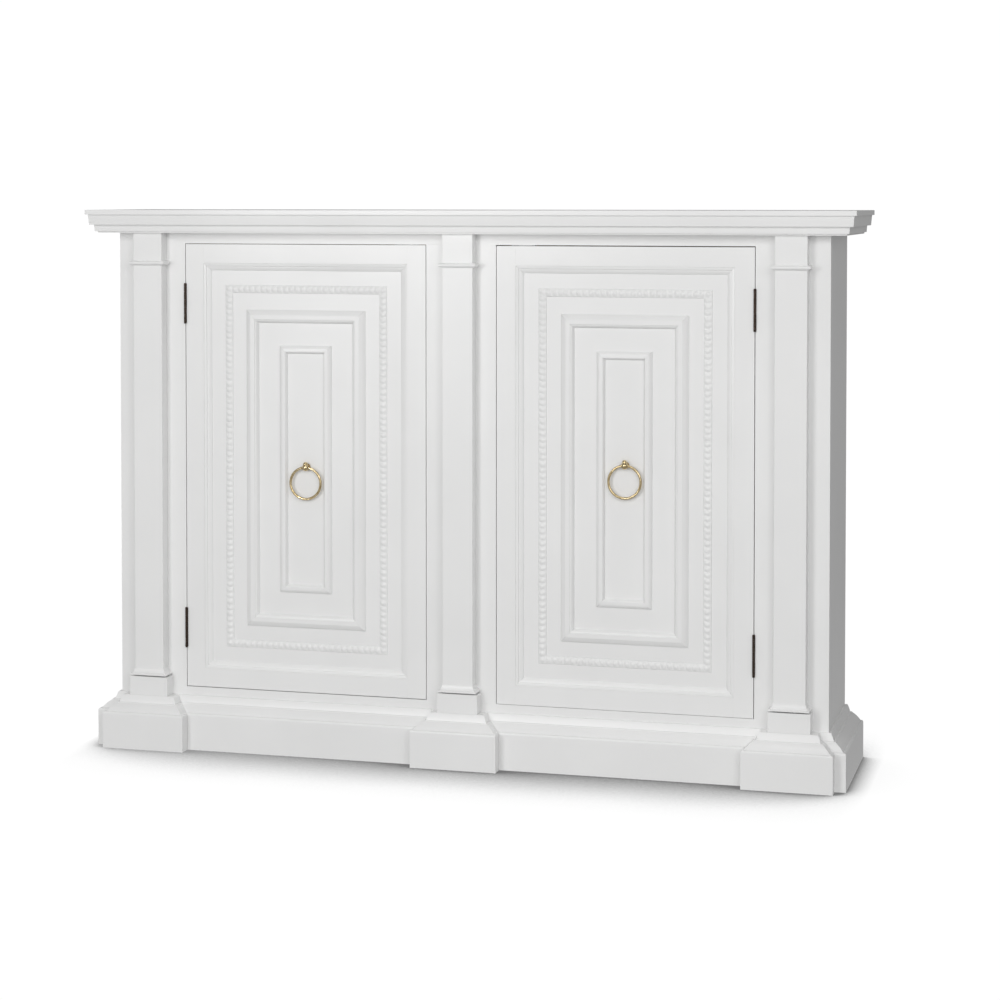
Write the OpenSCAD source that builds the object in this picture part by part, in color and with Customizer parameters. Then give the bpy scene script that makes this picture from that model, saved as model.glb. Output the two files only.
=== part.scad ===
// Low two-door painted cabinet: pilasters on pedestals, moulded plinth, stepped cornice.
// Millimetres, +Z up. The origin is the centre of the footprint on the floor, and the front faces -Y.

/* [Case] */
// Width of the case over its side panels
case_w = 1415; // [1380:5:1440]
// Depth of the case, from the front of the face frame to the back
case_d = 254; // [230:2:300]
// Overall height, from the floor to the top of the top board
case_h = 1067; // [1040:1:1100]
// Thickness of the side, bottom, divider and shelf boards
board_t = 19; // [16:1:21]
// Thickness of the back panel
back_t = 6; // [4:1:9]
// Thickness of the face frame
face_t = 20; // [18:1:22]
// Height of the top of the shelves
shelf_z = 560; // [400:10:700]

/* [Door openings] */
// Width of the middle stile of the face frame
mid_stile_w = 139; // [130:1:145]
// Width of one door opening
open_w = 498.5; // [485:0.5:500]
// Height of the bottom of the door openings
open_z = 118.5; // [116:0.5:124]
// Height of one door opening
open_h = 882; // [840:1:890]

/* [Doors] */
// Gap on a door's hinge side
hinge_gap = 1.4; // [1:0.1:2.5]
// Gap on a door's lock side
lock_gap = 1.3; // [1:0.1:2.5]
// How much lower a door is than its opening
door_slack = 2.4; // [2:0.1:4]
// Gap under the left door
left_bottom_gap = 1.4; // [0.5:0.1:1.5]
// Gap under the right door, which has dropped a little
right_bottom_gap = 0.7; // [0.5:0.1:1.5]
// Thickness of a door's stiles and rails
door_t = 20; // [18:1:21]
// Width of a door's stiles and rails at the front
rail_w = 37.5; // [34:0.5:42]
// Depth of the panel's face behind the front of the door
sunk = 8.5; // [8:0.5:9]
// Thickness of the panel
panel_t = 8; // [6:1:9]
// Groove depth that holds the panel's edge
groove = 8; // [6:1:12]

/* [Door mouldings] */
// Distance from the door's edge to the beaded moulding
bead_in = 80.5; // [74:0.5:86]
// Distance from the door's edge to the middle moulding
middle_in = 125; // [120:0.5:134]
// Distance from the door's edge to the inner moulding
inner_in = 194.5; // [190:0.5:196]
// How much further in the middle and inner mouldings are at the top of a door
top_drop = 3.5; // [0:0.5:6]
// Width of the open hairline where mouldings meet at a mitre
mitre_gap = 0.2; // [0.1:0.1:0.4]

/* [Cornice] */
// Overhang of the top board past the case
top_out = 52.5; // [50:0.5:60]
// Thickness of the top board
top_t = 9.5; // [8:0.5:12]
// Overhang of the raked board under the top board
raked_out = 48; // [45:0.5:49]
// Thickness of the raked board
raked_t = 20; // [16:1:24]
// Overhang of the bed moulding
bed_out = 38.5; // [37:0.5:44]
// Height of the bed moulding
bed_h = 16; // [12:1:18]

/* [Pilasters] */
// Distance from the middle of the cabinet to the middle of an outer pilaster
pilaster_x = 637.5; // [634:0.5:640]
// Width of a pilaster's shaft
shaft_w = 60; // [50:1:66]
// Thickness of a pilaster's shaft
shaft_t = 26; // [20:1:28]
// Height of the underside of the astragal
astragal_z = 957; // [900:1:980]
// Width of the block under a pilaster
block_w = 80; // [76:1:90]
// Height of the top of the block
block_top = 139.5; // [130:0.5:150]

/* [Plinth] */
// Height of the plinth
plinth_h = 102; // [100:1:106]
// Projection of the plinth past the case
plinth_out = 36; // [34:1:40]
// Width of a pedestal at the floor
pedestal_w = 170; // [160:1:172]

/* [Hinges and pulls] */
// Length of a hinge
hinge_len = 77; // [64:1:90]
// Distance from a hinge's outer end to the end of its opening
hinge_in = 80; // [60:1:100]
// Outer diameter of a hinge's barrel
barrel_d = 5; // [5:0.2:7]
// Diameter of a hinge pin
pin_d = 3; // [2.4:0.1:3.2]
// Outer diameter of a ring pull
ring_d = 67; // [58:1:70]
// Diameter of a ring's wire
wire_d = 5; // [4:0.2:5.4]
// Height of the left pull's eye above the middle of its door
left_pull_up = 3.2; // [-30:0.1:30]
// Height of the right pull's eye above the middle of its door
right_pull_up = 26.3; // [-30:0.1:30]
// Distance of both pulls to the right of the middle of their doors
pull_right = 2.3; // [-3:0.1:3]

/* [Hidden] */
$fn = 48;

LEFT = -1;
RIGHT = 1;
PAINT = "ghostwhite";
RAW_WOOD = "burlywood";
BRASS = "darkkhaki";
BRONZE = "dimgray";
STEEL = "silver";
ARC_STEPS = 6;
FAR = 400;

half_w = case_w / 2;
pedestal_out = plinth_out + shaft_t;
depth = case_d + pedestal_out;
front_y = pedestal_out - depth / 2;
back_y = depth / 2;
case_front = front_y + face_t;
panel_back = back_y - back_t;
raked_z = case_h - top_t - raked_t;
bed_z = raked_z - bed_h;
hinge_edge = mid_stile_w / 2 + open_w;
open_top = open_z + open_h;

// Door frame of reference: x from the hinge side of the opening, y from the front, z from its bottom
door_x0 = hinge_gap;
door_x1 = open_w - lock_gap;
door_w = door_x1 - door_x0;
door_h = open_h - door_slack;
function door_z0(side) = side == LEFT ? left_bottom_gap : right_bottom_gap;
function door_z1(side) = door_z0(side) + door_h;

// Plinth profile, from the ledge under the case down to the nose at the top of the upright face
plinth_ledge = 5;
plinth_bulge = 0.25;
upper_slope = [5.5, 14];
plinth_fillet = [4, 1];
lower_slope = [16, 14.5];
plinth_nose = [3.5, 4.5];

// How far the slopes of the door mouldings bulge: 0 is straight and 1 is a quarter ellipse
moulding_bulge = 0.35;

// Pilaster trim
astragal_h = 10;
astragal_out = 7;
base_h = 13;
base_out = 8;
block_out = plinth_ledge;
joint_gap = 3;

// Shelf pins and their holes
shelf_pin_d = 5;
shelf_pin_fit = 0.1;
shelf_pin_in = 8;
shelf_pin_len = 16;
shelf_pin_y = [case_front + 45, panel_back - 45];
shelf_slack = 1;

// Hinges
axis_x = hinge_gap / 2;
axis_y = -barrel_d / 2;
leaf_t = 1.6;
leaf_w = 16;
leaf_clear = 0.4;
pocket_fit = 0.1;
segments = 5;
segment_gap = 0.3;
bore_d = pin_d + 0.1;
hinge_z = [hinge_in, open_h - hinge_in - hinge_len];

// Ring pulls
eye_r = 7;
eye_bore_r = wire_d / 2 + 0.9;
eye_y = -1;
finial_r = 4.9;
finial_z = 6;
neck_r = 3.2;
shank_r = 2.5;
shank_fit = 0.1;
collar_t = 1.2;
ring_r = (ring_d - wire_d) / 2;

// Place of a door's pull in its opening
function pull_x(side) = (door_x0 + door_x1) / 2 - side * pull_right;
function pull_z(side) = door_z0(side) + door_h / 2 + (side == LEFT ? left_pull_up : right_pull_up);

// Catches: a magnet under the top rail, on a foot behind the rail, and a strike on the door
catch_w = 46;
catch_x1 = door_x1 - 24;
catch_x0 = catch_x1 - catch_w;
catch_drop = 16;
catch_rise = 12;
catch_d = 13;
catch_clear = 0.3;
strike_t = 1.5;
strike_h = 12;
strike_in = 3;

// Boards behind the front
bottom_rail_h = 60;
shelf_setback = 20;
groove_fit = 0.1;

// Quarter ellipse that starts level at the top and falls outwards.
// A bulge under 1 flattens it towards a straight slope.
function falling(x, z, r, bulge = 1) = [
    for (i = [0 : ARC_STEPS])
        let (a = 90 * i / ARC_STEPS, s = i / ARC_STEPS)
        [
            x + r[0] * (bulge * sin(a) + (1 - bulge) * s),
            z - r[1] * (bulge * (1 - cos(a)) + (1 - bulge) * s)
        ]
];

// Quarter ellipse that starts upright at the bottom and rounds over to level, flattened in the same way
function rising(x, z, r, bulge = 1) = [
    for (i = [0 : ARC_STEPS])
        let (a = 90 * i / ARC_STEPS, s = i / ARC_STEPS)
        [x + r[0] * (bulge * (1 - cos(a)) + (1 - bulge) * s), z + r[1] * (bulge * sin(a) + (1 - bulge) * s)]
];

// Plinth outline as [projection, height], from the top ledge down to the floor
plinth_step_z = plinth_h - upper_slope[1] - plinth_fillet[1];
plinth_step_x = plinth_ledge + upper_slope[0] + plinth_fillet[0];
plinth_edge = concat(
    falling(plinth_ledge, plinth_h, upper_slope, plinth_bulge),
    [[plinth_step_x, plinth_step_z + plinth_fillet[1]]],
    falling(plinth_step_x, plinth_step_z, lower_slope, plinth_bulge),
    falling(plinth_out - plinth_nose[0], plinth_step_z - lower_slope[1], plinth_nose),
    [[plinth_out, 0]]
);

// Door moulding profiles as [distance inwards, rise above the panel]
outer_profile = concat(
    [[0, 0], [0, 7.4], [0.8, 7.9], [5.2, 7.3], [6.2, 5.4], [8, 5.2]],
    falling(8.4, 5, [4.8, 2.8], moulding_bulge),
    [[13.9, 2], [14.6, 0]]
);
bead_profile = concat(
    [[0, 0], [0, 1.6]],
    [for (i = [0 : 2 * ARC_STEPS]) [8 - 7 * cos(90 * i / ARC_STEPS), 1.6 + 3.6 * sin(90 * i / ARC_STEPS)]],
    [[16, 1.6], [16, 0]]
);
middle_profile = concat(
    [[0, 0], [0, 2]],
    rising(0.5, 2, [9, 7.2], moulding_bulge),
    [[10.5, 10], [19, 10], [19.7, 8.4], [21.5, 8.1]],
    falling(22, 7.7, [3.2, 5.4], moulding_bulge),
    [[25.6, 2.1], [26.2, 0]]
);
inner_profile = concat(
    [[0, 0], [0, 2.4]],
    rising(0.4, 2.4, [5.2, 5], moulding_bulge),
    [[6.6, 8], [12.4, 8]],
    falling(12.8, 7.6, [2.6, 5], moulding_bulge),
    [[15.8, 2.4], [16.3, 0]]
);

// Builds the left-hand version, or its mirror image on the right
module on_side(side) {
    mirror([side == RIGHT ? 1 : 0, 0, 0]) children();
}

// Places children from a door's frame of reference
module in_opening(side) {
    on_side(side) translate([-hinge_edge, front_y, open_z]) children();
}

// Box from one corner to the opposite one
module block(low, high) {
    translate(low) cube(high - low);
}

// Prism along X from an outline of [forward of the face frame, height]
module front_prism(outline, x0, x1) {
    translate([x0, front_y, 0])
        rotate([90, 0, 90])
            linear_extrude(x1 - x0)
                polygon([for (p = outline) [-p[0], p[1]]]);
}

// Solid of a stepped base: an outline runs round its front and both sides
module stepped_base(middle_x, half, extra, edge, y_end) {
    reach = edge[len(edge) - 1][0];
    top = edge[0][1];
    intersection() {
        front_prism(
            concat([[front_y - y_end, 0], [front_y - y_end, top]], [for (p = edge) [p[0] + extra, p[1]]]),
            middle_x - half - reach, middle_x + half + reach
        );
        translate([middle_x, y_end, 0])
            rotate([90, 0, 0])
                linear_extrude(y_end - front_y + extra + reach + 1)
                    polygon(concat(
                        [for (p = edge) [half + p[0], p[1]]],
                        [for (i = [len(edge) - 1 : -1 : 0]) [-half - edge[i][0], edge[i][1]]]
                    ));
    }
}

// One mitred length along the bottom of a frame, w long, lying on the plane y = 0
module mitred_length(w, profile) {
    reach = profile[len(profile) - 1][0];
    intersection() {
        rotate([90, 0, 90])
            linear_extrude(w)
                polygon([for (p = profile) [-p[1], p[0]]]);
        rotate([90, 0, 0])
            linear_extrude(FAR)
                polygon([
                    [mitre_gap / 2, 0],
                    [w - mitre_gap / 2, 0],
                    [w - reach - mitre_gap / 2, reach],
                    [reach + mitre_gap / 2, reach]
                ]);
    }
}

// Four mitred lengths round a rectangle that is w wide and h high
module mitred_frame(w, h, profile) {
    mitred_length(w, profile);
    translate([0, 0, h]) mirror([0, 0, 1]) mitred_length(w, profile);
    mirror([1, 0, -1]) mitred_length(h, profile);
    translate([w, 0, 0]) mirror([1, 0, 0]) mirror([1, 0, -1]) mitred_length(h, profile);
}

// Mitred frame on a door's panel, set in from the door's edge, and by drop more at the top
module panel_frame(side, inset, profile, drop = 0) {
    translate([door_x0 + inset, sunk, door_z0(side) + inset])
        mitred_frame(door_w - 2 * inset, door_h - 2 * inset - drop, profile);
}

// ---- Cornice ----

module top_board() {
    color(PAINT)
        block([-half_w - top_out, front_y - top_out, case_h - top_t], [half_w + top_out, back_y, case_h]);
}

module raked_board() {
    rake = 2;
    top = raked_z + raked_t;
    low_out = raked_out - rake;
    color(PAINT)
        intersection() {
            front_prism(
                [[-case_d, raked_z], [low_out, raked_z], [raked_out, top], [-case_d, top]],
                -half_w - raked_out, half_w + raked_out
            );
            translate([0, back_y, 0])
                rotate([90, 0, 0])
                    linear_extrude(case_d + raked_out)
                        polygon([
                            [-half_w - low_out, raked_z],
                            [half_w + low_out, raked_z],
                            [half_w + raked_out, top],
                            [-half_w - raked_out, top]
                        ]);
        }
}

module bed_moulding() {
    lip = 33;
    lip_h = 3;
    edge = [[bed_out, raked_z], [bed_out - 1, bed_z + lip_h], [lip, bed_z + lip_h], [lip, bed_z]];
    color(PAINT)
        difference() {
            intersection() {
                front_prism(
                    concat([[-case_d, bed_z], [-case_d, raked_z]], edge),
                    -half_w - bed_out, half_w + bed_out
                );
                translate([0, back_y, 0])
                    rotate([90, 0, 0])
                        linear_extrude(case_d + bed_out)
                            polygon(concat(
                                [for (p = edge) [half_w + p[0], p[1]]],
                                [for (i = [len(edge) - 1 : -1 : 0]) [-half_w - edge[i][0], edge[i][1]]]
                            ));
            }
            block([-half_w, front_y, bed_z - 1], [half_w, back_y + 1, raked_z + 1]);
            for (side = [LEFT, RIGHT])
                translate([side * half_w, front_y, bed_z - 1])
                    rotate([0, 0, side == LEFT ? -135 : -45])
                        translate([0, -mitre_gap / 2, 0])
                            cube([2 * bed_out, mitre_gap, bed_h + 2]);
        }
}

// ---- Case ----

module shelf_pin_places(side) {
    for (y = shelf_pin_y)
        for (x = [-half_w + board_t, -board_t / 2])
            on_side(side)
                translate([x, y, shelf_z - board_t - shelf_pin_d / 2])
                    rotate([0, x < -board_t ? 90 : -90, 0])
                        children();
}

module shelf_pin_holes(side) {
    shelf_pin_places(side)
        translate([0, 0, -shelf_pin_in])
            cylinder(h = shelf_pin_in + 1, r = shelf_pin_d / 2 + shelf_pin_fit);
}

module side_board(side) {
    color(PAINT)
        difference() {
            on_side(side) block([-half_w, case_front, 0], [-half_w + board_t, back_y, raked_z]);
            shelf_pin_holes(side);
        }
}

module left_side() { side_board(LEFT); }

module right_side() { side_board(RIGHT); }

module back_panel() {
    color(RAW_WOOD)
        block([-half_w + board_t, panel_back, board_t], [half_w - board_t, back_y, raked_z]);
}

module bottom_board() {
    color(PAINT)
        block([-half_w + board_t, case_front, open_z - board_t], [half_w - board_t, panel_back, open_z]);
}

module centre_divider() {
    color(PAINT)
        difference() {
            block([-board_t / 2, case_front, open_z], [board_t / 2, panel_back, raked_z]);
            for (side = [LEFT, RIGHT]) shelf_pin_holes(side);
        }
}

module shelf(side) {
    color(PAINT)
        on_side(side)
            block(
                [-half_w + board_t + shelf_slack, case_front + shelf_setback, shelf_z - board_t],
                [-board_t / 2 - shelf_slack, panel_back - shelf_slack, shelf_z]
            );
}

module left_shelf() { shelf(LEFT); }

module right_shelf() { shelf(RIGHT); }

module shelf_pins() {
    color(STEEL)
        for (side = [LEFT, RIGHT])
            shelf_pin_places(side)
                translate([0, 0, -shelf_pin_in])
                    cylinder(h = shelf_pin_len, r = shelf_pin_d / 2);
}

// ---- Face frame ----

module outer_face_stile(side) {
    color(PAINT)
        difference() {
            on_side(side) block([-half_w, front_y, 0], [-hinge_edge, case_front, raked_z]);
            in_opening(side)
                for (z = hinge_z)
                    block(
                        [-leaf_t - pocket_fit, -1, z - pocket_fit],
                        [1, leaf_w + leaf_clear + pocket_fit, z + hinge_len + pocket_fit]
                    );
        }
}

module left_face_stile() { outer_face_stile(LEFT); }

module right_face_stile() { outer_face_stile(RIGHT); }

module centre_face_stile() {
    color(PAINT)
        block([-mid_stile_w / 2, front_y, open_z], [mid_stile_w / 2, case_front, open_top]);
}

module top_face_rail() {
    color(PAINT) block([-hinge_edge, front_y, open_top], [hinge_edge, case_front, raked_z]);
}

module bottom_face_rail() {
    color(PAINT) block([-hinge_edge, front_y, open_z - bottom_rail_h], [hinge_edge, case_front, open_z]);
}

// ---- Pilasters ----

module pilaster(x) {
    half = shaft_w / 2;
    color(PAINT) block([x - half, front_y - shaft_t, block_top + joint_gap], [x + half, front_y, bed_z]);
}

module left_pilaster() { pilaster(-pilaster_x); }

module centre_pilaster() { pilaster(0); }

module right_pilaster() { pilaster(pilaster_x); }

// Trim that wraps the front and sides of a shaft, from an outline of [projection, height]
module shaft_wrap(x, outline) {
    half = shaft_w / 2;
    reach = max([for (p = outline) p[0]]);
    low = min([for (p = outline) p[1]]);
    high = max([for (p = outline) p[1]]);
    difference() {
        intersection() {
            front_prism(
                concat([[0, low]], [for (p = outline) [p[0] + shaft_t, p[1]]], [[0, high]]),
                x - half - reach, x + half + reach
            );
            translate([x, front_y, 0])
                rotate([90, 0, 0])
                    linear_extrude(shaft_t + reach)
                        polygon(concat(
                            [for (p = outline) [half + p[0], p[1]]],
                            [for (i = [len(outline) - 1 : -1 : 0]) [-half - outline[i][0], outline[i][1]]]
                        ));
        }
        block([x - half, front_y - shaft_t, low - 1], [x + half, front_y + 1, high + 1]);
    }
}

module pilaster_astragals() {
    fillet = 2;
    fillet_out = 1.5;
    round_h = astragal_h - fillet;
    outline = concat(
        [[fillet_out, astragal_z], [fillet_out, astragal_z + fillet / 2]],
        [for (i = [0 : 2 * ARC_STEPS]) [
            2 + (astragal_out - 2) * sin(90 * i / ARC_STEPS),
            astragal_z + astragal_h / 2 - round_h / 2 * cos(90 * i / ARC_STEPS)
        ]],
        [[fillet_out, astragal_z + astragal_h - fillet / 2], [fillet_out, astragal_z + astragal_h]]
    );
    color(PAINT) for (x = [-pilaster_x, 0, pilaster_x]) shaft_wrap(x, outline);
}

module pilaster_base_mouldings() {
    low = block_top + joint_gap;
    lip = 3;
    outline = concat(
        [[base_out, low], [base_out, low + lip]],
        [for (i = [1 : ARC_STEPS]) [
            base_out - (base_out - 1) * sin(90 * i / ARC_STEPS),
            low + lip + (base_h - lip) * (1 - cos(90 * i / ARC_STEPS))
        ]]
    );
    color(PAINT) for (x = [-pilaster_x, 0, pilaster_x]) shaft_wrap(x, outline);
}

module pilaster_blocks() {
    color(PAINT)
        for (x = [-pilaster_x, 0, pilaster_x])
            block(
                [x - block_w / 2, front_y - shaft_t - block_out, plinth_h],
                [x + block_w / 2, front_y, block_top]
            );
}

// ---- Plinth ----

module pedestal(x) {
    stepped_base(x, pedestal_w / 2 - plinth_out, shaft_t, plinth_edge, front_y);
}

module left_pedestal() { color(PAINT) pedestal(-pilaster_x); }

module centre_pedestal() { color(PAINT) pedestal(0); }

module right_pedestal() { color(PAINT) pedestal(pilaster_x); }

// The front length between two pedestals
module plinth_front(side) {
    color(PAINT)
        on_side(side)
            difference() {
                front_prism(concat([[0, 0], [0, plinth_h]], plinth_edge), -pilaster_x, 0);
                pedestal(-pilaster_x);
                pedestal(0);
            }
}

module left_plinth_front() { plinth_front(LEFT); }

module right_plinth_front() { plinth_front(RIGHT); }

// The side length, and the short return mitred to it that ends at the pedestal
module plinth_side(side) {
    color(PAINT)
        on_side(side)
            difference() {
                stepped_base(0, half_w, 0, plinth_edge, back_y);
                block([-half_w, front_y, -1], [half_w + FAR, back_y + 1, plinth_h + 1]);
                block([-pilaster_x, front_y - FAR, -1], [half_w + FAR, back_y + 1, plinth_h + 1]);
                pedestal(-pilaster_x);
                translate([-half_w, front_y, -1])
                    rotate([0, 0, -135])
                        translate([0, -mitre_gap / 2, 0])
                            cube([2 * plinth_out, mitre_gap, plinth_h + 2]);
            }
}

module left_plinth_side() { plinth_side(LEFT); }

module right_plinth_side() { plinth_side(RIGHT); }

// ---- Hinges and catches ----

// One leaf and its share of the barrel: the plate runs back from plate_x, and owns every other segment
module hinge_leaf(z, plate_x, first) {
    pitch = hinge_len / segments;
    translate([0, 0, z])
        difference() {
            union() {
                block([plate_x, leaf_clear, 0], [plate_x + leaf_t, leaf_clear + leaf_w, hinge_len]);
                for (i = [first : 2 : segments - 1]) {
                    low = i * pitch + segment_gap / 2;
                    high = (i + 1) * pitch - segment_gap / 2;
                    translate([axis_x, axis_y, low]) cylinder(h = high - low, r = barrel_d / 2);
                    block([plate_x, axis_y, low], [plate_x + leaf_t, leaf_clear + 1, high]);
                }
            }
            translate([axis_x, axis_y, -1]) cylinder(h = hinge_len + 2, r = bore_d / 2);
        }
}

module case_leaves(side) {
    color(BRONZE) in_opening(side) for (z = hinge_z) hinge_leaf(z, -leaf_t, 0);
}

module left_case_leaves() { case_leaves(LEFT); }

module right_case_leaves() { case_leaves(RIGHT); }

module door_leaves(side) {
    color(BRONZE) in_opening(side) for (z = hinge_z) hinge_leaf(z, hinge_gap, 1);
}

module left_door_leaves() { door_leaves(LEFT); }

module right_door_leaves() { door_leaves(RIGHT); }

module hinge_pins() {
    head_h = 1.5;
    color(BRONZE)
        for (side = [LEFT, RIGHT])
            in_opening(side)
                for (z = hinge_z)
                    translate([axis_x, axis_y, z]) {
                        cylinder(h = hinge_len, r = pin_d / 2);
                        for (end = [-head_h, hinge_len])
                            translate([0, 0, end]) cylinder(h = head_h, r = barrel_d / 2 - 0.2);
                    }
}

module magnetic_catches() {
    body_front = door_t + strike_t + catch_clear;
    top = open_h + catch_rise;
    color(STEEL)
        for (side = [LEFT, RIGHT])
            in_opening(side) {
                block([catch_x0, body_front, open_h - catch_drop], [catch_x1, body_front + catch_d, top]);
                block([catch_x0, face_t, open_h + 1], [catch_x1, body_front + 1, top]);
            }
}

module catch_strike(side) {
    low = open_h - catch_drop;
    color(STEEL)
        in_opening(side)
            block(
                [catch_x0 + strike_in, door_t, low],
                [catch_x1 - strike_in, door_t + strike_t, low + strike_h]
            );
}

module left_catch_strike() { catch_strike(LEFT); }

module right_catch_strike() { catch_strike(RIGHT); }

// ---- Doors ----

// Upright on the hinge side, with a groove for the panel and pockets for the hinge leaves
module door_hinge_stile(side) {
    low = door_z0(side);
    high = door_z1(side);
    inner = door_x0 + rail_w;
    pocket_x = door_x0 + leaf_t + pocket_fit;
    pocket_y = leaf_w + leaf_clear + pocket_fit;
    color(PAINT)
        in_opening(side)
            difference() {
                block([door_x0, 0, low], [inner, door_t, high]);
                block(
                    [inner - groove, sunk, low + rail_w - groove],
                    [inner + 1, sunk + panel_t + groove_fit, high - rail_w + groove]
                );
                for (z = hinge_z)
                    block(
                        [door_x0 - 1, -1, z - pocket_fit],
                        [pocket_x, pocket_y, z + hinge_len + pocket_fit]
                    );
            }
}

module left_door_hinge_stile() { door_hinge_stile(LEFT); }

module right_door_hinge_stile() { door_hinge_stile(RIGHT); }

module door_lock_stile(side) {
    low = door_z0(side);
    high = door_z1(side);
    inner = door_x1 - rail_w;
    color(PAINT)
        in_opening(side)
            difference() {
                block([inner, 0, low], [door_x1, door_t, high]);
                block(
                    [inner - 1, sunk, low + rail_w - groove],
                    [inner + groove, sunk + panel_t + groove_fit, high - rail_w + groove]
                );
            }
}

module left_door_lock_stile() { door_lock_stile(LEFT); }

module right_door_lock_stile() { door_lock_stile(RIGHT); }

// Rail whose outer edge is at z_edge and whose groove opens towards inwards, +1 up or -1 down
module door_rail(side, z_edge, inwards) {
    color(PAINT)
        in_opening(side)
            translate([0, 0, z_edge])
                mirror([0, 0, inwards < 0 ? 1 : 0])
                    difference() {
                        block([door_x0 + rail_w, 0, 0], [door_x1 - rail_w, door_t, rail_w]);
                        block(
                            [door_x0 + rail_w - 1, sunk, rail_w - groove],
                            [door_x1 - rail_w + 1, sunk + panel_t + groove_fit, rail_w + 1]
                        );
                    }
}

module left_door_top_rail() { door_rail(LEFT, door_z1(LEFT), -1); }

module right_door_top_rail() { door_rail(RIGHT, door_z1(RIGHT), -1); }

module left_door_bottom_rail() { door_rail(LEFT, door_z0(LEFT), 1); }

module right_door_bottom_rail() { door_rail(RIGHT, door_z0(RIGHT), 1); }

module door_panel(side) {
    edge = rail_w - groove + 1;
    color(PAINT)
        in_opening(side)
            difference() {
                block(
                    [door_x0 + edge, sunk, door_z0(side) + edge],
                    [door_x1 - edge, sunk + panel_t, door_z1(side) - edge]
                );
                translate([pull_x(side), sunk - 1, pull_z(side)])
                    rotate([-90, 0, 0])
                        cylinder(h = panel_t + 2, r = shank_r + shank_fit);
            }
}

module left_door_panel() { door_panel(LEFT); }

module right_door_panel() { door_panel(RIGHT); }

module door_outer_moulding(side) {
    color(PAINT) in_opening(side) panel_frame(side, rail_w, outer_profile);
}

module left_door_outer_moulding() { door_outer_moulding(LEFT); }

module right_door_outer_moulding() { door_outer_moulding(RIGHT); }

module door_bead_moulding(side) {
    color(PAINT) in_opening(side) panel_frame(side, bead_in, bead_profile);
}

module left_door_bead_moulding() { door_bead_moulding(LEFT); }

module right_door_bead_moulding() { door_bead_moulding(RIGHT); }

module door_middle_moulding(side) {
    color(PAINT) in_opening(side) panel_frame(side, middle_in, middle_profile, top_drop);
}

module left_door_middle_moulding() { door_middle_moulding(LEFT); }

module right_door_middle_moulding() { door_middle_moulding(RIGHT); }

module door_inner_moulding(side) {
    color(PAINT) in_opening(side) panel_frame(side, inner_in, inner_profile, top_drop);
}

module left_door_inner_moulding() { door_inner_moulding(LEFT); }

module right_door_inner_moulding() { door_inner_moulding(RIGHT); }

// ---- Ring pulls ----

// Post with an eye for the ring, a ball finial over it, and a nut behind the panel
module pull_post(side) {
    nut_r = 5;
    nut_h = 3.5;
    color(BRASS)
        in_opening(side)
            translate([pull_x(side), 0, pull_z(side)]) {
                difference() {
                    union() {
                        translate([0, eye_y, 0]) sphere(r = eye_r);
                        translate([0, eye_y, finial_z]) sphere(r = finial_r);
                        translate([0, eye_y, 0]) rotate([-90, 0, 0]) cylinder(h = sunk - eye_y, r = neck_r);
                        translate([0, sunk - collar_t, 0])
                            rotate([-90, 0, 0])
                                cylinder(h = collar_t, r = eye_r);
                        translate([0, sunk - 1, 0])
                            rotate([-90, 0, 0])
                                cylinder(h = panel_t + nut_h, r = shank_r);
                    }
                    translate([-eye_r - 1, eye_y, 0])
                        rotate([0, 90, 0])
                            cylinder(h = 2 * eye_r + 2, r = eye_bore_r);
                }
                translate([0, sunk + panel_t, 0])
                    rotate([-90, 0, 0])
                        difference() {
                            cylinder(h = nut_h, r = nut_r, $fn = 6);
                            translate([0, 0, -1]) cylinder(h = nut_h + 2, r = shank_r + shank_fit);
                        }
            }
}

module left_pull_post() { pull_post(LEFT); }

module right_pull_post() { pull_post(RIGHT); }

module pull_ring(side) {
    color(BRASS)
        in_opening(side)
            translate([pull_x(side), eye_y, pull_z(side) - ring_r])
                rotate([90, 0, 0])
                    rotate_extrude()
                        translate([ring_r, 0])
                            circle(r = wire_d / 2);
}

module left_pull_ring() { pull_ring(LEFT); }

module right_pull_ring() { pull_ring(RIGHT); }

top_board();
raked_board();
bed_moulding();
left_side();
right_side();
back_panel();
bottom_board();
centre_divider();
left_shelf();
right_shelf();
shelf_pins();
left_face_stile();
centre_face_stile();
right_face_stile();
top_face_rail();
bottom_face_rail();
left_pilaster();
centre_pilaster();
right_pilaster();
pilaster_astragals();
pilaster_base_mouldings();
pilaster_blocks();
left_pedestal();
centre_pedestal();
right_pedestal();
left_plinth_front();
right_plinth_front();
left_plinth_side();
right_plinth_side();
left_case_leaves();
right_case_leaves();
hinge_pins();
magnetic_catches();
left_door_hinge_stile();
left_door_lock_stile();
left_door_top_rail();
left_door_bottom_rail();
left_door_panel();
left_door_outer_moulding();
left_door_bead_moulding();
left_door_middle_moulding();
left_door_inner_moulding();
left_door_leaves();
left_catch_strike();
left_pull_post();
left_pull_ring();
right_door_hinge_stile();
right_door_lock_stile();
right_door_top_rail();
right_door_bottom_rail();
right_door_panel();
right_door_outer_moulding();
right_door_bead_moulding();
right_door_middle_moulding();
right_door_inner_moulding();
right_door_leaves();
right_catch_strike();
right_pull_post();
right_pull_ring();
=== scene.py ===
"""Looks of a hand-painted two-door cabinet with moulded doors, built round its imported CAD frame.

Lengths are in metres in the CAD row's frame: the front faces -Y, and z = 0 is the floor.
"""

import math
import random

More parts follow.
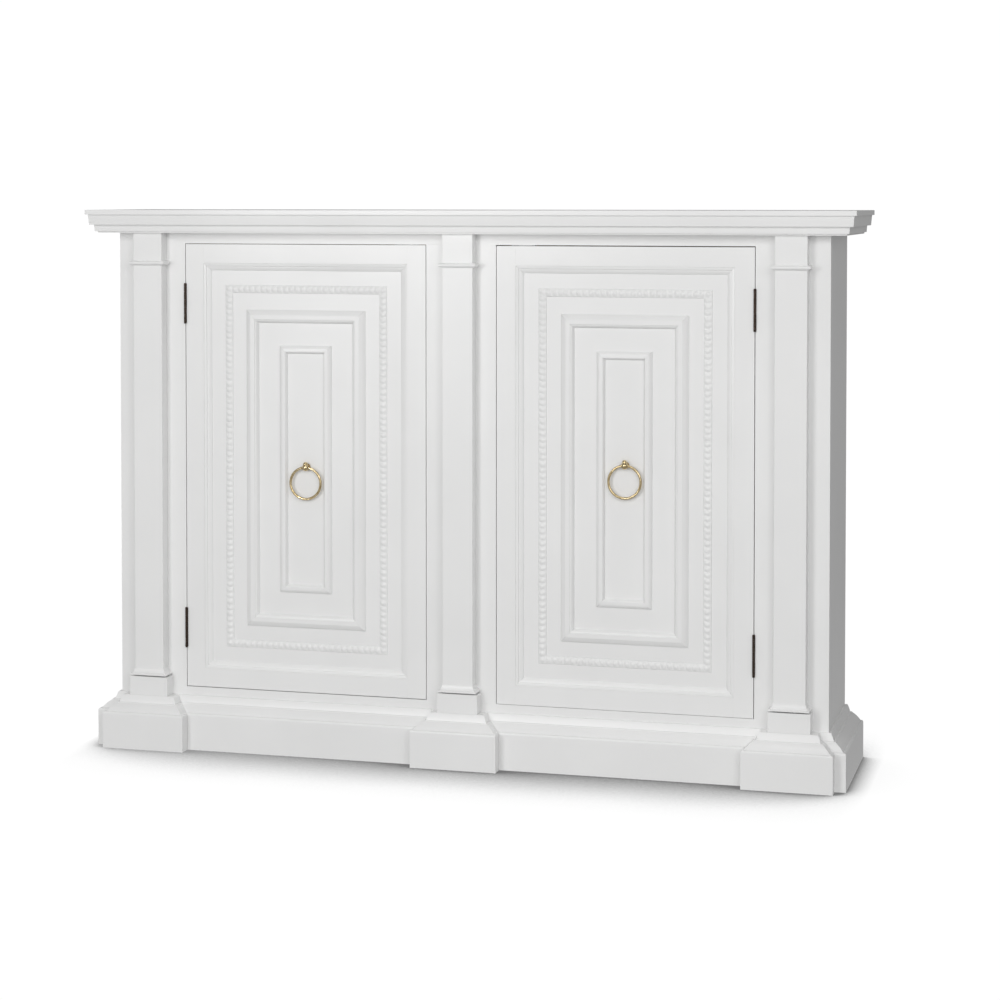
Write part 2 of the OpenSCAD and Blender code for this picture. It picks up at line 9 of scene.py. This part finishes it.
import bmesh
import bpy
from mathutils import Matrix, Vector


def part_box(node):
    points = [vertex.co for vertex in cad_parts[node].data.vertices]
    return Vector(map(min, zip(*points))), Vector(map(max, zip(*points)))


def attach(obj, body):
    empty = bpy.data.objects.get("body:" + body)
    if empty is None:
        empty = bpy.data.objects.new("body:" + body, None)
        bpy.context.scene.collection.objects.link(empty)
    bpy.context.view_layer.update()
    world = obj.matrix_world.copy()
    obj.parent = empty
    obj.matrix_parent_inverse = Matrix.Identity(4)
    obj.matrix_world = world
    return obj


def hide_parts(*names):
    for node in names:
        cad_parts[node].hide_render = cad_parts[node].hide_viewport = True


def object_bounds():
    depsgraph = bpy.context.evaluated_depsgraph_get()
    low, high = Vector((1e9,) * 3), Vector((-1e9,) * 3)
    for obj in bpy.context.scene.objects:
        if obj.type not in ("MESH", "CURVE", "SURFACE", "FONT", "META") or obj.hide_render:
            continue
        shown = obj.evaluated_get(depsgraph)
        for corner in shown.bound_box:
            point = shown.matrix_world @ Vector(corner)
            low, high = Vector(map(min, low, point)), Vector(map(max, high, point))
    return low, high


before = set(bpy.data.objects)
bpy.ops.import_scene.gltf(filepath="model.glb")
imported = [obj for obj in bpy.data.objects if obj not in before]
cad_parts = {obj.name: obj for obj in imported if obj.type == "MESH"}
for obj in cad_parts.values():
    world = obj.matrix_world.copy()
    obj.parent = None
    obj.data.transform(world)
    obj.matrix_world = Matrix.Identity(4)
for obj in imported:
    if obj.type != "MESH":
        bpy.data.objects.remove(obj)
CAD_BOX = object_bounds()

MM = 0.001
X, Z = Vector((1, 0, 0)), Vector((0, 0, 1))
SIDES = ("left", "right")


# ---- Camera ----

SENSOR_MM = 36.0
LENS_MM = 84.4524
SHIFT_RIGHT, SHIFT_UP = 0.0077, -0.2223
CAMERA_PLACE = (1.2352, -4.4192, 1.0869)
TILT_DOWN, TURN_LEFT = math.radians(1.903), math.radians(15.18)
SEEN_AS_FAR_AS = 60


def make_camera():
    data = bpy.data.cameras.new("camera")
    data.sensor_width = SENSOR_MM
    data.lens = LENS_MM
    data.shift_x, data.shift_y = SHIFT_RIGHT, SHIFT_UP
    data.clip_end = SEEN_AS_FAR_AS
    camera = bpy.data.objects.new("camera", data)
    camera.location = CAMERA_PLACE
    camera.rotation_euler = (math.radians(90) - TILT_DOWN, 0, TURN_LEFT)
    bpy.context.scene.collection.objects.link(camera)
    bpy.context.scene.camera = camera


# ---- Materials ----

class Nodes:
    """Short names for building one material's node tree."""

    def __init__(self, name):
        self.material = bpy.data.materials.new(name)
        self.material.use_nodes = True
        self.tree = self.material.node_tree
        self.shader = self.tree.nodes["Principled BSDF"]
        self.coordinates = self.add("ShaderNodeTexCoord").outputs["Object"]

    def add(self, kind, **settings):
        node = self.tree.nodes.new(kind)
        for key, value in settings.items():
            setattr(node, key, value)
        return node

    def link(self, output, socket):
        self.tree.links.new(output, socket)

    def stretched(self, scale):
        """Object coordinates multiplied by scale along each axis."""
        mapping = self.add("ShaderNodeMapping")
        mapping.inputs["Scale"].default_value = scale
        self.link(self.coordinates, mapping.inputs["Vector"])
        return mapping.outputs["Vector"]

    def noise(self, vector, scale, detail=3.0, roughness=0.5, distortion=0.0):
        node = self.add("ShaderNodeTexNoise")
        self.link(vector, node.inputs["Vector"])
        node.inputs["Scale"].default_value = scale
        node.inputs["Detail"].default_value = detail
        node.inputs["Roughness"].default_value = roughness
        node.inputs["Distortion"].default_value = distortion
        return node.outputs["Fac"]

    def spread(self, value, low, high, start=0.0, end=1.0):
        """Maps value from start..end to low..high, and stops at the ends."""
        node = self.add("ShaderNodeMapRange")
        self.link(value, node.inputs["Value"])
        node.inputs["From Min"].default_value = start
        node.inputs["From Max"].default_value = end
        node.inputs["To Min"].default_value = low
        node.inputs["To Max"].default_value = high
        return node.outputs["Result"]

    def colours(self, value, stops):
        """Colour ramp with stops of (position, (r, g, b))."""
        node = self.add("ShaderNodeValToRGB")
        ramp = node.color_ramp
        while len(ramp.elements) < len(stops):
            ramp.elements.new(0.5)
        for element, (position, colour) in zip(ramp.elements, stops):
            element.position = position
            element.color = (*colour, 1)
        self.link(value, node.inputs["Fac"])
        return node.outputs["Color"]

    def bump(self, height, depth, below=None):
        """Bump of the given depth in metres, over an earlier bump if there is one."""
        node = self.add("ShaderNodeBump")
        node.inputs["Strength"].default_value = 1.0
        node.inputs["Distance"].default_value = depth
        self.link(height, node.inputs["Height"])
        if below is not None:
            self.link(below, node.inputs["Normal"])
        return node.outputs["Normal"]


STROKES_ALONG, STROKES_ACROSS, STROKES_ON_TRIM = 6.0, 90.0, 60.0
STROKE_DEPTH, WAVE_DEPTH = 0.005 * MM, 0.25 * MM
PAINT_ROUGHNESS = (0.28, 0.31)
PAINT_IOR = 1.46
PAINT_DRIFT = (0.975, 1.01)
OUTSIDE_WHITE, INSIDE_WHITE = (0.875, 0.875, 0.87), (0.85, 0.85, 0.84)


def painted_wood(name, brushed, colour=OUTSIDE_WHITE):
    """Satin paint brushed on along "x" or "z", or every way (None) on mouldings."""
    n = Nodes(name)
    scale = [STROKES_ACROSS if brushed else STROKES_ON_TRIM] * 3
    if brushed:
        scale["xyz".index(brushed)] = STROKES_ALONG
    strokes = n.noise(n.stretched(scale), 4.0, detail=4.0, roughness=0.6, distortion=0.3)
    waves = n.noise(n.coordinates, 22.0, detail=2.0)
    patches = n.noise(n.coordinates, 5.0, detail=3.0, roughness=0.55)
    low, high = (tuple(channel * drift for channel in colour) for drift in PAINT_DRIFT)
    n.link(n.colours(patches, [(0.3, low), (0.7, high)]), n.shader.inputs["Base Color"])
    n.link(n.spread(strokes, *PAINT_ROUGHNESS, start=0.3, end=0.7), n.shader.inputs["Roughness"])
    n.shader.inputs["IOR"].default_value = PAINT_IOR
    wavy = n.bump(waves, WAVE_DEPTH)
    n.link(n.bump(strokes, STROKE_DEPTH, below=wavy), n.shader.inputs["Normal"])
    return n.material


PLY_DARK, PLY_MIDDLE, PLY_LIGHT = (0.40, 0.27, 0.15), (0.52, 0.37, 0.22), (0.60, 0.45, 0.28)
PLY_ROUGHNESS = (0.6, 0.75)
FIBRE_DEPTH = 0.1 * MM


def plywood(name):
    """Bare veneer with its grain upright."""
    n = Nodes(name)
    grain = n.noise(n.stretched((1.2, 1.2, 0.12)), 40.0, detail=6.0, roughness=0.6, distortion=1.2)
    fibres = n.noise(n.stretched((300.0, 300.0, 8.0)), 3.0, detail=4.0)
    stops = [(0.3, PLY_DARK), (0.5, PLY_MIDDLE), (0.7, PLY_LIGHT)]
    n.link(n.colours(grain, stops), n.shader.inputs["Base Color"])
    n.link(n.spread(fibres, *PLY_ROUGHNESS), n.shader.inputs["Roughness"])
    n.link(n.bump(fibres, FIBRE_DEPTH), n.shader.inputs["Normal"])
    return n.material


MARK_DEPTH = 0.01 * MM
SMOOTHER, ROUGHER = 0.06, 0.08


def metal(name, dark, light, rough):
    """Metal whose colour drifts between dark and light, with faint handling marks."""
    n = Nodes(name)
    tarnish = n.noise(n.coordinates, 180.0, detail=5.0, roughness=0.65)
    marks = n.noise(n.stretched((900.0, 900.0, 250.0)), 3.0, detail=3.0)
    n.link(n.colours(tarnish, [(0.35, dark), (0.65, light)]), n.shader.inputs["Base Color"])
    n.link(n.spread(marks, rough - SMOOTHER, rough + ROUGHER), n.shader.inputs["Roughness"])
    n.shader.inputs["Metallic"].default_value = 1.0
    n.link(n.bump(marks, MARK_DEPTH), n.shader.inputs["Normal"])
    return n.material


def make_materials():
    return {
        "paint_x": painted_wood("paint_brushed_x", "x"),
        "paint_z": painted_wood("paint_brushed_z", "z"),
        "paint_trim": painted_wood("paint_on_trim", None),
        "inside_x": painted_wood("inside_paint_x", "x", INSIDE_WHITE),
        "inside_z": painted_wood("inside_paint_z", "z", INSIDE_WHITE),
        "plywood": plywood("bare_plywood"),
        "brass": metal("aged_brass", (0.50, 0.38, 0.19), (0.78, 0.65, 0.42), 0.22),
        "bronze": metal("dark_bronze", (0.035, 0.026, 0.022), (0.085, 0.062, 0.050), 0.45),
        "steel": metal("zinc_plate", (0.50, 0.50, 0.51), (0.66, 0.66, 0.67), 0.38),
    }


def material_of(node):
    """The key in make_materials of the material that a CAD node takes."""
    if node == "back_panel":
        return "plywood"
    if "pull" in node:
        return "brass"
    if "leaves" in node or node == "hinge_pins":
        return "bronze"
    if "strike" in node or node in ("shelf_pins", "magnetic_catches"):
        return "steel"
    if node in ("bottom_board", "left_shelf", "right_shelf"):
        return "inside_x"
    if node == "centre_divider":
        return "inside_z"
    if "moulding" in node or "astragal" in node:
        return "paint_trim"
    if "plinth" not in node and node.endswith("_side"):
        return "paint_z"
    if "stile" in node or "pilaster" in node or node.endswith("door_panel"):
        return "paint_z"
    return "paint_x"


# ---- Edges softened by paint ----

def smooth_by_angle(limit):
    """Geometry nodes that shade faces smooth except over edges sharper than limit."""
    tree = bpy.data.node_groups.new("smooth_by_angle", "GeometryNodeTree")
    tree.interface.new_socket("Geometry", in_out="INPUT", socket_type="NodeSocketGeometry")
    tree.interface.new_socket("Geometry", in_out="OUTPUT", socket_type="NodeSocketGeometry")
    start, end = tree.nodes.new("NodeGroupInput"), tree.nodes.new("NodeGroupOutput")
    angle = tree.nodes.new("GeometryNodeInputMeshEdgeAngle")
    gentle = tree.nodes.new("FunctionNodeCompare")
    gentle.operation = "LESS_EQUAL"
    gentle.inputs[1].default_value = limit
    faces = tree.nodes.new("GeometryNodeSetShadeSmooth")
    edges = tree.nodes.new("GeometryNodeSetShadeSmooth")
    edges.domain = "EDGE"
    tree.links.new(start.outputs[0], faces.inputs[0])
    tree.links.new(angle.outputs["Unsigned Angle"], gentle.inputs[0])
    tree.links.new(faces.outputs[0], edges.inputs[0])
    tree.links.new(gentle.outputs[0], edges.inputs["Shade Smooth"])
    tree.links.new(edges.outputs[0], end.inputs[0])
    return tree


SMOOTH_UP_TO, ROUND_FROM = math.radians(32), math.radians(40)
WELD_GAP = 0.01 * MM
MOST_WEIGHT = 100


def soften(piece, width, smoothing):
    """Welds, rounds the arrises by width and shades the result smooth."""
    weld = piece.modifiers.new("weld", "WELD")
    weld.merge_threshold = WELD_GAP
    bevel = piece.modifiers.new("paint_edge", "BEVEL")
    bevel.width = width
    bevel.segments = 2
    bevel.limit_method = "ANGLE"
    bevel.angle_limit = ROUND_FROM
    smooth = piece.modifiers.new("smooth", "NODES")
    smooth.node_group = smoothing
    normals = piece.modifiers.new("flat_faces", "WEIGHTED_NORMAL")
    normals.keep_sharp = True
    normals.weight = MOST_WEIGHT


EDGE_WIDTHS = {
    "metal": 0.25 * MM,
    "trim": 0.3 * MM,
    "frame": 0.35 * MM,
    "board": 0.8 * MM,
    "base": 1.1 * MM,
}
FRAME_PARTS = ("stile", "rail", "door_panel")


def edge_width(node, kind):
    """How far paint and handling have rounded a node's arrises."""
    if kind in ("brass", "bronze", "steel"):
        return EDGE_WIDTHS["metal"]
    if kind == "paint_trim":
        return EDGE_WIDTHS["trim"]
    if any(part in node for part in FRAME_PARTS):
        return EDGE_WIDTHS["frame"]
    if "plinth" in node or "pedestal" in node:
        return EDGE_WIDTHS["base"]
    return EDGE_WIDTHS["board"]


def dress_cad_nodes(materials):
    smoothing = smooth_by_angle(SMOOTH_UP_TO)
    for name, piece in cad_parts.items():
        kind = material_of(name)
        piece.data.materials.clear()
        piece.data.materials.append(materials[kind])
        soften(piece, edge_width(name, kind), smoothing)


# ---- Beaded mouldings ----

STRIP_WIDTH, STRIP_RISE = 16 * MM, 1.6 * MM
BEADS_IN_COLUMN, BEADS_IN_ROW = 60, 27
PAINT_IN_COLUMN, PAINT_IN_ROW = 0.95 * MM, 0.9 * MM
# The beads' unevenness: shares of the pitch, then of the strip's width, the full rise and the paint
SHIFTS, HALF_LENGTHS = (-0.03, 0.03), (0.485, 0.515)
HALF_WIDTHS, RISES, FILLS = (0.40, 0.43), (0.92, 1.0), (0.5, 1.5)
CORNER_RISE = 0.97
# Share of half the strip's width over which the strip and the paint rise from its edge
STRIP_ROUNDING, PAINT_ROUNDING = 0.09, 0.35
# Share of the paint that stays in a gap, and how far up a bead it reaches
PAINT_LEFT, PAINT_CLIMB = 0.8, 1.2 * MM
STEPS_PER_BEAD = 10
ACROSS_HALF = (0.25, 0.48, 0.66, 0.82, 0.92, 0.97, 1.0)
ACROSS = (*(-part for part in reversed(ACROSS_HALF)), 0.0, *ACROSS_HALF)
WELD_BEADS = 0.02 * MM


def turned_beads(count, pitch, rise, dice, fill):
    """One length's beads as (place, half length, half width, rise, paint in the gaps beside it)."""
    beads = []
    for i in range(count + 1):
        if i in (0, count):
            beads.append((i * pitch, pitch / 2, pitch / 2, rise * CORNER_RISE, fill))
        else:
            place = (i + dice.uniform(*SHIFTS)) * pitch
            half_length = dice.uniform(*HALF_LENGTHS) * pitch
            half_width = dice.uniform(*HALF_WIDTHS) * STRIP_WIDTH
            own_rise = dice.uniform(*RISES) * rise
            beads.append((place, half_length, half_width, own_rise, dice.uniform(*FILLS) * fill))
    return beads


def bead_height(beads, pitch, along, across):
    """Height over the panel at a point along one length, and across from its middle."""
    inset = 1 - abs(across) / (STRIP_WIDTH / 2)
    strip = STRIP_RISE * min(1.0, inset / STRIP_ROUNDING)
    nearest = min(max(round(along / pitch), 0), len(beads) - 1)
    height = strip
    for place, half_length, half_width, rise, _ in beads[max(nearest - 1, 0):nearest + 2]:
        out = ((along - place) / half_length) ** 2 + (across / half_width) ** 2
        if out < 1:
            height = max(height, rise * (1 - out) ** 0.5)
    if 0 < along < (len(beads) - 1) * pitch:
        paint = beads[nearest][-1] * min(1.0, inset / PAINT_ROUNDING)
        height += paint * PAINT_LEFT * max(0.0, 1 - (height - strip) / PAINT_CLIMB)
    return height


def bead_length(mesh, corner, run, inward, length, count, face, rise, dice, fill):
    """One mitred length, whose middle line goes from corner along run. The door's middle is inward."""
    pitch = length / count
    beads = turned_beads(count, pitch, rise, dice, fill)
    steps = count * STEPS_PER_BEAD
    rows = []
    for part in ACROSS:
        across = part * STRIP_WIDTH / 2
        row = []
        for step in range(steps + 1):
            along = across + (length - 2 * across) * step / steps
            point = corner + run * along + inward * across
            lift = 0.0 if abs(part) == 1 else bead_height(beads, pitch, along, across)
            row.append(mesh.verts.new((point.x, face - lift, point.z)))
        rows.append(row)
    for first, second in zip(rows, rows[1:]):
        for i in range(steps):
            mesh.faces.new((first[i], first[i + 1], second[i + 1], second[i]))
    for i in range(steps):
        mesh.faces.new((rows[-1][i], rows[-1][i + 1], rows[0][i + 1], rows[0][i]))


def make_bead_moulding(side, material, seed):
    """Four mitred lengths of beads in place of the CAD's plain strips."""
    node = f"{side}_door_bead_moulding"
    low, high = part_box(node)
    half = STRIP_WIDTH / 2
    left, right, bottom, top = low.x + half, high.x - half, low.z + half, high.z - half
    width, height = right - left, top - bottom
    rise = high.y - low.y
    dice = random.Random(seed)
    mesh = bmesh.new()
    lengths = (
        (Vector((left, 0, bottom)), X, Z, width, BEADS_IN_ROW, PAINT_IN_ROW),
        (Vector((right, 0, bottom)), Z, -X, height, BEADS_IN_COLUMN, PAINT_IN_COLUMN),
        (Vector((right, 0, top)), -X, -Z, width, BEADS_IN_ROW, PAINT_IN_ROW),
        (Vector((left, 0, top)), -Z, X, height, BEADS_IN_COLUMN, PAINT_IN_COLUMN),
    )
    for corner, run, inward, length, count, fill in lengths:
        bead_length(mesh, corner, run, inward, length, count, high.y, rise, dice, fill)
    bmesh.ops.remove_doubles(mesh, verts=mesh.verts, dist=WELD_BEADS)
    bmesh.ops.recalc_face_normals(mesh, faces=mesh.faces)
    for facet in mesh.faces:
        facet.smooth = True
    data = bpy.data.meshes.new(f"{side}_beads")
    mesh.to_mesh(data)
    mesh.free()
    piece = bpy.data.objects.new(f"{side}_door_beads", data)
    bpy.context.scene.collection.objects.link(piece)
    data.materials.append(material)
    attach(piece, f"door_{side}")
    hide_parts(node)


# ---- Studio ----

FLOOR_SIZE = 30
SEEN_WHITE, LIGHTING_SKY = 1.02, 0.27
CONTACT_SHADOW_REACH = 0.34
# Open share of the sky over the floor, from where the painted contact shadow is deepest to where it
# ends
UNDER_SHADOW = (0.48, 0.95)
# How light the painted contact shadow leaves the floor at the cabinet's foot: at its left end, from its
# middle on, and added beside it
FOOT_LEFT, FOOT, FOOT_BESIDE = 0.40, 0.18, 0.75
# What the floor throws up in front of the cabinet, and less of it beyond the right end
GLOW, GLOW_BESIDE = 0.40, 0.30
# Stretches of X, or of distance from the middle, over which those change
END = CAD_BOX[1][0]
FOOT_DARKENS, FOOT_LIGHTENS = (-END + 10 * MM, -100 * MM), (END - 15 * MM, END + 25 * MM)
GLOW_DIMS = (END - 60 * MM, END + 340 * MM)


def make_floor():
    """A floor that looks white, with a painted contact shadow close to what stands on it, and throws
    light back up.
    """
    bpy.ops.mesh.primitive_plane_add(size=FLOOR_SIZE)
    floor = bpy.context.object
    floor.name = "floor"
    n = Nodes("floor_white_painted_shadow")
    # Painted contact shadow: to the camera the floor's white dims with ambient occlusion near the
    # cabinet, less at its left end and fading past its ends
    painted_shadow_ao = n.add("ShaderNodeAmbientOcclusion", samples=8)
    painted_shadow_ao.inputs["Distance"].default_value = CONTACT_SHADOW_REACH
    place = n.add("ShaderNodeSeparateXYZ")
    n.link(n.coordinates, place.inputs["Vector"])
    seen = n.add("ShaderNodeEmission")
    strength = n.spread(painted_shadow_ao.outputs["AO"], 0.0, SEEN_WHITE, *UNDER_SHADOW)
    strength.node.interpolation_type = "SMOOTHSTEP"
    off_middle = n.add("ShaderNodeMath", operation="ABSOLUTE")
    n.link(place.outputs["X"], off_middle.inputs[0])
    foot = n.add("ShaderNodeMath", operation="ADD")
    n.link(n.spread(place.outputs["X"], FOOT_LEFT, FOOT, *FOOT_DARKENS), foot.inputs[0])
    n.link(n.spread(off_middle.outputs[0], 0.0, FOOT_BESIDE, *FOOT_LIGHTENS), foot.inputs[1])
    n.link(foot.outputs[0], strength.node.inputs["To Min"])
    n.link(strength, seen.inputs["Strength"])
    thrown = n.add("ShaderNodeEmission")
    n.link(n.spread(place.outputs["X"], GLOW, GLOW_BESIDE, *GLOW_DIMS), thrown.inputs["Strength"])
    mix = n.add("ShaderNodeMixShader")
    n.link(n.add("ShaderNodeLightPath").outputs["Is Camera Ray"], mix.inputs["Fac"])
    n.link(thrown.outputs["Emission"], mix.inputs[1])
    n.link(seen.outputs["Emission"], mix.inputs[2])
    n.link(mix.outputs["Shader"], n.tree.nodes["Material Output"].inputs["Surface"])
    floor.data.materials.append(n.material)


LIGHTS_AIM = Vector((0, 0, 0.6))


def area_light(name, place, width, height, watts):
    """A lamp that the camera doesn't see, aimed at the middle of the cabinet."""
    data = bpy.data.lights.new(name, "AREA")
    data.shape = "RECTANGLE"
    data.size, data.size_y = width, height
    data.energy = watts
    lamp = bpy.data.objects.new(name, data)
    lamp.location = place
    lamp.rotation_euler = (LIGHTS_AIM - lamp.location).to_track_quat("-Z", "Y").to_euler()
    lamp.visible_camera = False
    bpy.context.scene.collection.objects.link(lamp)


def make_lights():
    area_light("softbox_left", (-1.4, -4.5, 1.95), 1.4, 3.2, 17)
    area_light("softbox_top", (0, -4.5, 2.65), 1.4, 1.6, 9)
    area_light("softbox_right", (1.4, -4.5, 1.8), 1.4, 3.2, 34)
    area_light("overhead", (0.5, -0.85, 4.8), 1.0, 1.0, 16)
    area_light("left_lamp", (-0.69, -3.76, 1.95), 0.12, 1.5, 12)
    area_light("glow_lamp", (-1.57, -4.4, 1.15), 0.7, 0.6, 24)
    area_light("right_lamp", (2.37, -3.4, 1.9), 0.7, 1.7, 20)
    area_light("right_side_lamp", (3.2, -2.6, 1.9), 0.7, 0.7, 6)
    area_light("left_fill", (-4.5, -1.0, 1.5), 2.0, 2.0, 4)
    area_light("back_fill", (-5.0, 3.2, 2.5), 2.4, 2.0, 64)


def make_sky():
    """A sky that looks white to the camera and is dim as a light."""
    world = bpy.data.worlds.new("studio")
    bpy.context.scene.world = world
    world.use_nodes = True
    nodes, links = world.node_tree.nodes, world.node_tree.links
    background = nodes["Background"]
    background.inputs["Color"].default_value = (1, 1, 1, 1)
    seen = nodes.new("ShaderNodeLightPath").outputs["Is Camera Ray"]
    spread = nodes.new("ShaderNodeMapRange")
    spread.inputs["To Min"].default_value = LIGHTING_SKY
    spread.inputs["To Max"].default_value = SEEN_WHITE
    links.new(seen, spread.inputs["Value"])
    links.new(spread.outputs["Result"], background.inputs["Strength"])


def set_view():
    """Plain colours, with no film look over them."""
    view = bpy.context.scene.view_settings
    view.view_transform = "Standard"
    view.look = "None"
    view.exposure = 0.0


make_camera()
materials = make_materials()
dress_cad_nodes(materials)
for seed, side in enumerate(SIDES):
    make_bead_moulding(side, materials["paint_trim"], seed)
make_floor()
make_lights()
make_sky()
set_view()
